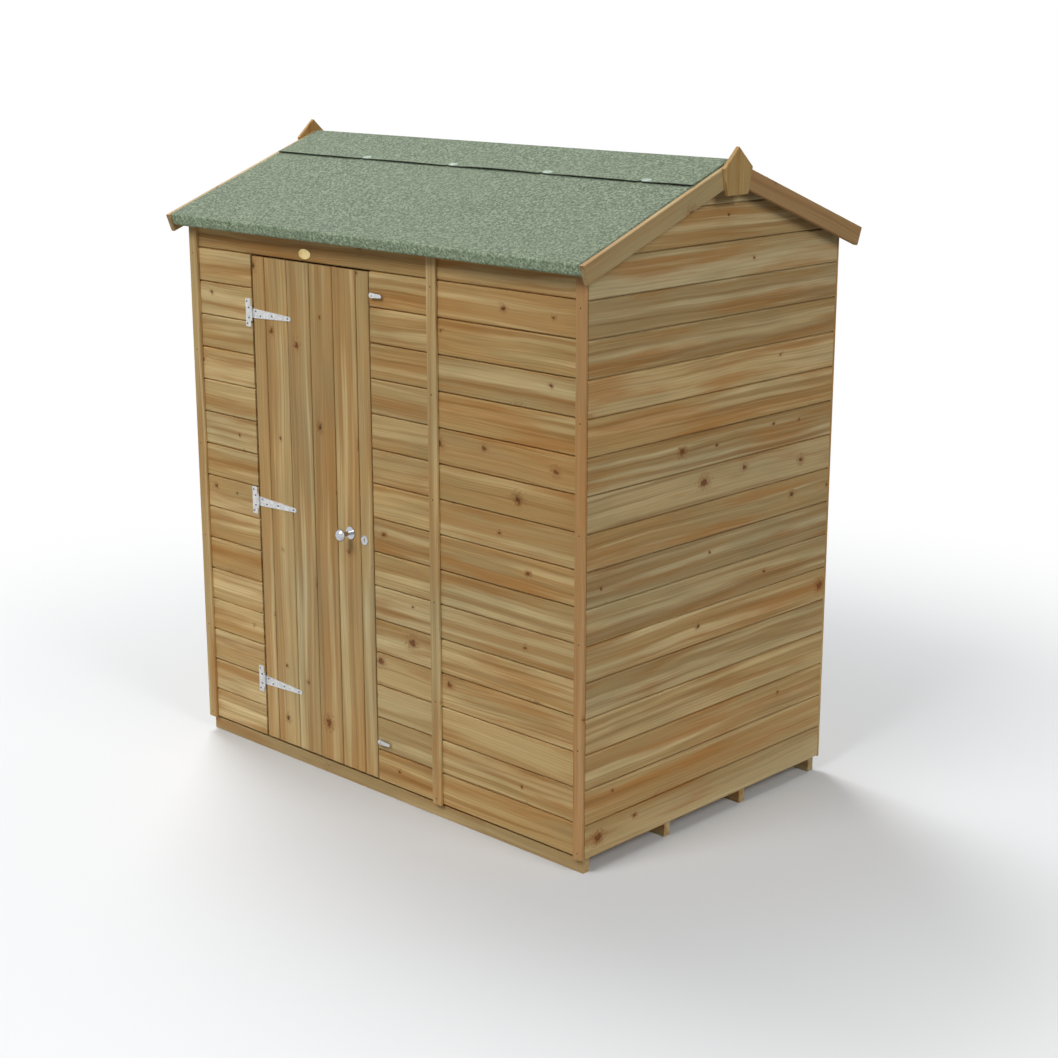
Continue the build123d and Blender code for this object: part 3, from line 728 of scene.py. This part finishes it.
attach(oval_plate, "shed")


# Roof panels: matched pine boards that run the length of the shed, nailed to eave and verge battens.
# They meet in a saw cut at the ridge, and their undersides show from inside and under the overhang.

ROOF_GAP = 0.0006
ROOF_BEVEL = 0.001
ROOF_TONGUE = 0.005
PAST_RIDGE = 0.02
roof_low, roof_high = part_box("front_roof_panel")
roof_ridge = roof_high.z
roof_run = -roof_low.y / math.cos(ROOF_PITCH)
roof_pine = softwood("roof_pine", *FRAMING_TONES)
roof_long = roof_high.x - roof_low.x
for side, node, seed in ((-1, "front_roof_panel", 51), (1, "back_roof_panel", 52)):
    sarking = Stack(seed)
    ridge_cut = (roof_ridge * UP, -side * BACK)
    along = -side * RIGHT
    end_x = roof_low.x if along.x > 0 else roof_high.x
    for near, far in rows(-PAST_RIDGE, roof_run, BOARD_COVER, roof_run):
        corner = Vector((end_x, 0, roof_ridge)) + down_slope(side) * near
        section = matched(far - near, ROOF_BOARD_THICK, ROOF_GAP, ROOF_BEVEL, ROOF_TONGUE)
        sarking.board(corner, along, down_slope(side), roof_long, section, (ridge_cut,))
    sarking = sarking.piece(node + "_boards", roof_pine)
    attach(sarking, "shed")
    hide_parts(node)

leave_bare("eave_battens", level_batten)
leave_bare("verge_battens", cross_batten)


# Roof felt: green mineral felt on bitumen, one sheet to each slope turned down over the eave, and a
# capping strip along the ridge. The capping laps both sheets and is held by clout nails along its
# wavy lower edges, where it curls between them and is torn beside them, and is painted paler in a
# patch beside each nail. The turned-down drop at the eave is painted lighter, as painted light, so
# that it shows as bright as the slope though the high lamps light it less.

FELT_THICK = 0.0025
FELT_DROP = 0.038
FELT_FOLD = 0.006
FELT_RIPPLE = 0.0007
FELT_COLUMNS = 150
SLOPE_ROWS = 34
FOLD_ROWS = 6
DROP_ROWS = 5
CAP_RUN = 0.190
CAP_RIPPLE = 0.0008
CAP_BED = 0.0003
CAP_ROWS = 36
LAP_LIFT = 0.0045
LAP_WANDER = 0.003
CURL_FROM = 0.72
CLOUT_XS = (-0.49, -0.071, 0.348, 0.752)
CLOUT_IN = 0.014
CLOUT_HOLD = 0.09
CLOUT_SEAT = 2.3 * FELT_THICK
CLOUT_RADIUS = 0.0050
CLOUT_RISE = 0.0012
TORN_DEEP = 0.007
TORN_HALF = 0.010
TORN_ASIDE = 0.012
PATCH_HALF_LONG = 0.032
PATCH_HALF_DEEP = 0.018
PATCH_ASIDE = 0.006
TEAR_STEP = 0.005
TEAR_STEPS = 7
felt = Finish("mineral_felt")
felt_spot = felt.node("TexCoord", {}).outputs["Object"]
granule = felt.split(felt.node("TexVoronoi", {"Vector": felt_spot, "Scale": 300.0}).outputs["Color"])[0]
speck = felt.split(felt.node("TexVoronoi", {"Vector": felt_spot, "Scale": 140.0}).outputs["Color"])[0]
clump = felt.cloud(felt_spot, (128.0, 128.0, 128.0), 3.0, 0.6)
drift = felt.cloud(felt_spot, (2.5, 2.5, 2.5), 3.0)
pale_patch = felt.node("Attribute", {}, attribute_name="pale_patch").outputs["Fac"]
turned = felt.node("Attribute", {}, attribute_name="turned").outputs["Fac"]
felt_shade = felt.mix(granule, colour(77, 91, 72), colour(125, 137, 113))
felt_shade = felt.mix(felt.ramp(speck, 0.0, 0.45, 0.52, 0.0), felt_shade, colour(66, 80, 61))
felt_shade = felt.mix(felt.ramp(speck, 0.6, 1.0, 0.0, 0.52), felt_shade, colour(153, 166, 141))
felt_shade = felt.mix(felt.ramp(clump, 0.36, 0.5, 0.6, 0.0), felt_shade, colour(68, 82, 64))
felt_shade = felt.mix(felt.ramp(clump, 0.52, 0.68, 0.0, 0.6), felt_shade, colour(148, 161, 136))
felt_shade = felt.mix(felt.ramp(drift, 0.4, 0.7, 0.0, 0.25), felt_shade, colour(113, 126, 101))
# The felt is painted paler in a patch beside each clout nail, broken up by the clump noise.
patch_paling = felt.ramp(felt.maths("MULTIPLY_ADD", clump, 0.5, pale_patch), 0.45, 0.85)
felt_shade = felt.mix(patch_paling, felt_shade, colour(158, 175, 162))
# Painted light: the turned-down drop is painted about twice as bright, as the high lamps light it less.
drop_painted_light = felt.maths("MULTIPLY_ADD", turned, 1.15, 1.0)
felt_shade = felt.mix(1.0, felt_shade, felt.join(drop_painted_light, drop_painted_light, drop_painted_light), "MULTIPLY")
felt.dress(felt_shade, 0.9, felt.maths("ADD", granule, clump), 0.0008)

bitumen = Finish("bitumen")
bitumen_spot = bitumen.node("TexCoord", {}).outputs["Object"]
ooze = bitumen.cloud(bitumen_spot, (80.0, 80.0, 80.0), 3.0)
bitumen_shade = bitumen.mix(ooze, colour(34, 36, 30), colour(52, 54, 46))
bitumen.dress(bitumen_shade, bitumen.ramp(ooze, 0.2, 0.8, 0.5, 0.8), ooze, 0.0005)


def felt_sheet(name, columns, surface, rows_down):
    """A sheet with a mineral face and a bitumen back.
    surface(x, row) gives the face, its way out, its pale patch share and how far it is turned down.
    How far it is turned down sets the painted light on the drop."""
    sheet = bmesh.new()
    patch_layer = sheet.verts.layers.float.new("pale_patch")
    turn_layer = sheet.verts.layers.float.new("turned")
    faces, backs = [], []
    for x in columns:
        spots = [surface(x, row) for row in rows_down]
        faces.append([sheet.verts.new(point) for point, way, patch_share, turn in spots])
        backs.append([sheet.verts.new(point - way * FELT_THICK) for point, way, patch_share, turn in spots])
        for vert, (point, way, patch_share, turn) in zip(faces[-1], spots):
            vert[patch_layer] = patch_share
            vert[turn_layer] = turn
    last_column, last_row = len(columns) - 1, len(rows_down) - 1
    for column in range(last_column):
        for row in range(last_row):
            for layer, tar in ((faces, 0), (backs, 1)):
                quad = sheet.faces.new((
                    layer[column][row], layer[column + 1][row],
                    layer[column + 1][row + 1], layer[column][row + 1]))
                quad.material_index = tar
                quad.smooth = True
        for row in (0, last_row):
            edge = sheet.faces.new((
                faces[column][row], faces[column + 1][row], backs[column + 1][row], backs[column][row]))
            edge.material_index = 1
    for column in (0, last_column):
        for row in range(last_row):
            sheet.faces.new((
                faces[column][row], faces[column][row + 1], backs[column][row + 1], backs[column][row]))
    bmesh.ops.recalc_face_normals(sheet, faces=sheet.faces)
    return set_up(sheet, name, felt.material, bitumen.material)


def ripple(x, run, seed, height):
    """How far felt lifts off flat at a place, never below the boards."""
    return height * (0.5 + 0.5 * noise.noise(Vector((x * 3.1, run * 4.3, seed))))


felt_xs = [roof_low.x + roof_long * step / FELT_COLUMNS for step in range(FELT_COLUMNS + 1)]
slope_steps = [("slope", roof_run * step / SLOPE_ROWS) for step in range(SLOPE_ROWS)]
fold_steps = [("fold", math.radians(90) * step / FOLD_ROWS) for step in range(FOLD_ROWS + 1)]
drop_span = FELT_DROP - FELT_FOLD
drop_steps = [("drop", FELT_FOLD + drop_span * step / DROP_ROWS) for step in range(1, DROP_ROWS + 1)]
for side, node in ((-1, "front_felt"), (1, "back_felt")):
    def slope_felt(x, row, side=side):
        """The felt on one slope: down the boards, round the fold at the eave and down its drop."""
        kind, amount = row
        down = down_slope(side)
        off = off_slope(side)
        ridge = Vector((x, 0, roof_ridge))
        outer = roof_run + FELT_THICK
        if kind == "slope":
            lift = ripple(x, amount, side, FELT_RIPPLE)
            return ridge + down * amount + off * (FELT_THICK + lift), off, 0.0, 0.0
        hollow = ridge + down * (outer - FELT_FOLD) + off * (FELT_THICK - FELT_FOLD)
        if kind == "fold":
            way = off * math.cos(amount) + down * math.sin(amount)
            return hollow + way * FELT_FOLD, way, 0.0, math.sin(amount)
        return ridge + down * outer + off * (FELT_THICK - amount), down, 0.0, 1.0
    sheet = felt_sheet(node + "_sheet", felt_xs, slope_felt, slope_steps + fold_steps + drop_steps)
    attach(sheet, "shed")
    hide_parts(node)


def capping(x, row):
    """The capping strip: row goes from -1 at its front edge to 1 at its back edge."""
    side = -1 if row < 0 else 1
    beside = min((x - nail for nail in CLOUT_XS), key=abs)
    torn = TORN_DEEP * max(0.0, 1 - abs(beside + TORN_ASIDE) / TORN_HALF)
    run = abs(row) * (CAP_RUN + LAP_WANDER * noise.noise(Vector((x * 2.3, side, 7.0))) - torn)
    loose = min(1.0, abs(beside) / CLOUT_HOLD)
    edge = max(0.0, (abs(row) - CURL_FROM) / (1 - CURL_FROM)) ** 2
    uneven = 0.75 + 0.5 * noise.noise(Vector((x * 4.0, side, 3.0)))
    curl = LAP_LIFT * edge * (0.45 + 0.55 * loose) * uneven
    lift = 2 * FELT_THICK + CAP_BED + ripple(x, run, side + 5, CAP_RIPPLE) + curl
    way = UP if row == 0 else off_slope(side)
    # The share of the pale patch: an ellipse about a spot just beside each clout nail.
    patch_along = (beside - PATCH_ASIDE) / PATCH_HALF_LONG
    patch_down = (run - CAP_RUN + CLOUT_IN) / PATCH_HALF_DEEP
    patch_share = max(0.0, 1 - math.hypot(patch_along, patch_down))
    return Vector((x, 0, roof_ridge)) + down_slope(side) * run + way * lift, way, patch_share, 0.0


tear_steps = range(-TEAR_STEPS, TEAR_STEPS + 1)
clout_columns = [nail + step * TEAR_STEP for nail in CLOUT_XS for step in tear_steps]
cap_rows = [step / CAP_ROWS for step in range(-CAP_ROWS, CAP_ROWS + 1)]
cap_sheet = felt_sheet("ridge_capping", sorted(felt_xs + clout_columns), capping, cap_rows)
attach(cap_sheet, "shed")
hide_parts("ridge_felt")

galvanised = zinc_finish("galvanised_clouts", colour(132, 144, 132), colour(104, 116, 104))
for side, word in ((-1, "front"), (1, "back")):
    way = off_slope(side)
    seat = down_slope(side) * (CAP_RUN - CLOUT_IN) + way * CLOUT_SEAT
    places = [Vector((x, 0, roof_ridge)) + seat for x in CLOUT_XS]
    clouts = round_heads(word + "_clout_nails", places, way, CLOUT_RADIUS, CLOUT_RISE, galvanised)
    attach(clouts, "shed")


# Bargeboards and finials: planed pine boards nailed to the verge battens to close the felt at each
# gable, mitred at the ridge. A shaped finial with a scored middle line covers each mitre.

BARGE_WIDE = 0.060
BARGE_EASE = 0.0022
PAST_MITRE = 0.05
PALE_BARGE_TONES = (
    colour(196, 171, 122), colour(178, 152, 105), colour(173, 140, 93), colour(150, 118, 75),
    colour(84, 54, 28))
RED_BARGE_TONES = (
    colour(172, 138, 94), colour(158, 124, 82), colour(156, 117, 74), colour(134, 98, 60),
    colour(78, 48, 24))
FINIAL_TONES = (
    colour(194, 160, 104), colour(178, 144, 88), colour(172, 132, 76), colour(146, 106, 58),
    colour(84, 52, 26))
FINIAL_SHOULDER_HALF = 0.067
FINIAL_SHOULDER_RISE = 0.080
FINIAL_FOOT_HALF = 0.047
FINIAL_EASE = 0.0018
SCORE_HALF = 0.00032
pale_barge_pine = softwood("pale_barge_pine", *PALE_BARGE_TONES, knot_share=0.35)
red_barge_pine = softwood("red_barge_pine", *RED_BARGE_TONES, knot_share=0.35)
finial_pine = softwood("finial_pine", *FINIAL_TONES, knot_share=0.15)
for node, side, seed in (
        ("front_left_bargeboard", -1, 61), ("back_left_bargeboard", 1, 62),
        ("front_right_bargeboard", -1, 63), ("back_right_bargeboard", 1, 64)):
    low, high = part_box(node)
    reach = abs(low.y if side < 0 else high.y)
    tail = (reach - FELT_THICK * math.sin(ROOF_PITCH)) / math.cos(ROOF_PITCH)
    down = down_slope(side)
    off = off_slope(side)
    start_x = high.x if side < 0 else low.x
    corner = Vector((start_x, 0, roof_ridge)) + off * (FELT_THICK - BARGE_WIDE) - down * PAST_MITRE
    section = eased(BARGE_WIDE, high.x - low.x, BARGE_EASE)
    mitre = (roof_ridge * UP, -side * BACK)
    barge = Stack(seed)
    barge.board(corner, down, off, tail + PAST_MITRE, section, (mitre,))
    barge = barge.piece(node + "_board", pale_barge_pine if side < 0 else red_barge_pine)
    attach(barge, "shed")
    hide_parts(node)

finial_low, finial_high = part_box("finials")
finial_thick = finial_high.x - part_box("front_right_bargeboard")[1].x
finial_tall = finial_high.z - finial_low.z


def shaped(stack, corner, along, across, outline, thick, ease):
    """A flat shape cut from a board, to an outline of (along, across) points, its face edges eased."""
    mesh = stack.mesh
    out = along.cross(across)
    back = [mesh.verts.new(corner + along * a + across * b) for a, b in outline]
    face = [mesh.verts.new(vert.co + out * thick) for vert in back]
    count = len(outline)
    for spot in range(count):
        after = (spot + 1) % count
        mesh.faces.new((back[spot], back[after], face[after], face[spot]))
    mesh.faces.new(back)
    front = mesh.faces.new(face)
    bmesh.ops.bevel(mesh, geom=list(front.edges), offset=ease, segments=1, profile=0.5, affect="EDGES")
    stack.mark(corner, along, across, out)


half_outline = (
    (0.0, SCORE_HALF), (0.0, FINIAL_FOOT_HALF), (FINIAL_SHOULDER_RISE, FINIAL_SHOULDER_HALF),
    (finial_tall, SCORE_HALF))
finials = Stack(65)
for end in (1, -1):
    foot = Vector((end * (finial_high.x - finial_thick), 0, finial_low.z))
    for half in (1, -1):
        outline = [(a, b * half) for a, b in half_outline]
        shaped(finials, foot, UP, -end * BACK, outline, finial_thick, FINIAL_EASE)
finials = finials.piece("finial_boards", finial_pine)
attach(finials, "shed")
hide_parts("finials")


# Studio: a pale grey floor that turns to white with distance, and gives back less light from far off.
# Three soft lamps stand high to the left, the front and the right, in a white surround that lights a
# little from overhead. The camera stands at a raised eye's height, off the right front corner.

FLOOR_HALF = 60.0
FLOOR_GREY = (0.715, 0.73, 0.745, 1.0)
FAR_FLOOR_GREY = (0.24, 0.245, 0.25, 1.0)
WHITE = (1.0, 1.0, 1.0, 1.0)
WHITE_FROM = 1.2
WHITE_AT = 3.8
DIM_FROM = 0.9
DIM_AT = 2.6
SKY_LOW = 0.03
SKY_RISE = 0.15
LAMP_AIM = Vector((0, 0, 0.9))
LAMPS = (
    ("key_lamp", Vector((-8.5, 3.4, 11.6)), 7.0, 1520.0),
    ("front_lamp", Vector((0.2, -9.3, 10.5)), 6.5, 1000.0),
    ("side_lamp", Vector((11.2, -1.0, 8.0)), 6.0, 650.0))
CAMERA_PLACE = (4.629, -4.690, 2.5695)
CAMERA_DOWN = 15.022
CAMERA_TURN = 43.915
CAMERA_LENS = 67.57
CAMERA_SENSOR = 36.0


def seen_directly(nodes):
    """One for what the camera sees, also in metal, and nought for light that falls on things."""
    ray = nodes.node("LightPath", {}).outputs
    seen = nodes.maths("MAXIMUM", ray["Is Camera Ray"], ray["Is Glossy Ray"])
    return nodes.maths("MAXIMUM", seen, ray["Is Transmission Ray"])


stage_grey = Finish("studio_floor")
spot = stage_grey.node("NewGeometry", {}).outputs["Position"]
distance = stage_grey.vector("LENGTH", spot)
seen = seen_directly(stage_grey)
dim = stage_grey.maths("SUBTRACT", 1.0, seen)
dim = stage_grey.maths("MULTIPLY", dim, stage_grey.ramp(distance, DIM_FROM, DIM_AT))
stage_grey.dress(stage_grey.mix(dim, FLOOR_GREY, FAR_FLOOR_GREY), 0.9)
white = stage_grey.node("Emission", {"Color": WHITE, "Strength": 1.0}).outputs[0]
far = stage_grey.ramp(distance, WHITE_FROM, WHITE_AT)
both = stage_grey.node("MixShader", {0: stage_grey.maths("MULTIPLY", far, seen)})
stage_grey.feed(both.inputs[1], stage_grey.shader.outputs[0])
stage_grey.feed(both.inputs[2], white)
stage_grey.feed(stage_grey.tree.nodes["Material Output"].inputs["Surface"], both.outputs[0])

floor = bmesh.new()
for x, y in ((-1, -1), (1, -1), (1, 1), (-1, 1)):
    floor.verts.new((x * FLOOR_HALF, y * FLOOR_HALF, 0))
floor.faces.new(floor.verts)
studio_floor = set_up(floor, "studio_floor", stage_grey.material)

world = bpy.data.worlds.new("studio_surround")
bpy.context.scene.world = world
surround = Nodes(world)
height = surround.split(surround.node("TexCoord", {}).outputs["Generated"])[2]
overhead = surround.maths("POWER", surround.maths("MAXIMUM", height, 0.0), 2.0)
overhead = surround.maths("MULTIPLY_ADD", overhead, SKY_RISE, SKY_LOW)
seen = seen_directly(surround)
unseen = surround.maths("SUBTRACT", 1.0, seen)
strength = surround.maths("MULTIPLY_ADD", overhead, unseen, seen)
surround.feed(surround.tree.nodes["Background"].inputs["Color"], WHITE)
surround.feed(surround.tree.nodes["Background"].inputs["Strength"], strength)

for name, place, wide, power in LAMPS:
    lamp_data = bpy.data.lights.new(name, "AREA")
    lamp_data.shape = "DISK"
    lamp_data.size = wide
    lamp_data.energy = power
    lamp = bpy.data.objects.new(name, lamp_data)
    lamp.location = place
    lamp.rotation_euler = (LAMP_AIM - place).to_track_quat("-Z", "Y").to_euler()
    bpy.context.scene.collection.objects.link(lamp)

camera_data = bpy.data.cameras.new("camera")
camera_data.sensor_width = CAMERA_SENSOR
camera_data.lens = CAMERA_LENS
camera = bpy.data.objects.new("camera", camera_data)
camera.location = CAMERA_PLACE
camera.rotation_euler = (math.radians(90 - CAMERA_DOWN), 0.0, math.radians(CAMERA_TURN))
bpy.context.scene.collection.objects.link(camera)
bpy.context.scene.camera = camera
bpy.context.scene.view_settings.view_transform = "Standard"
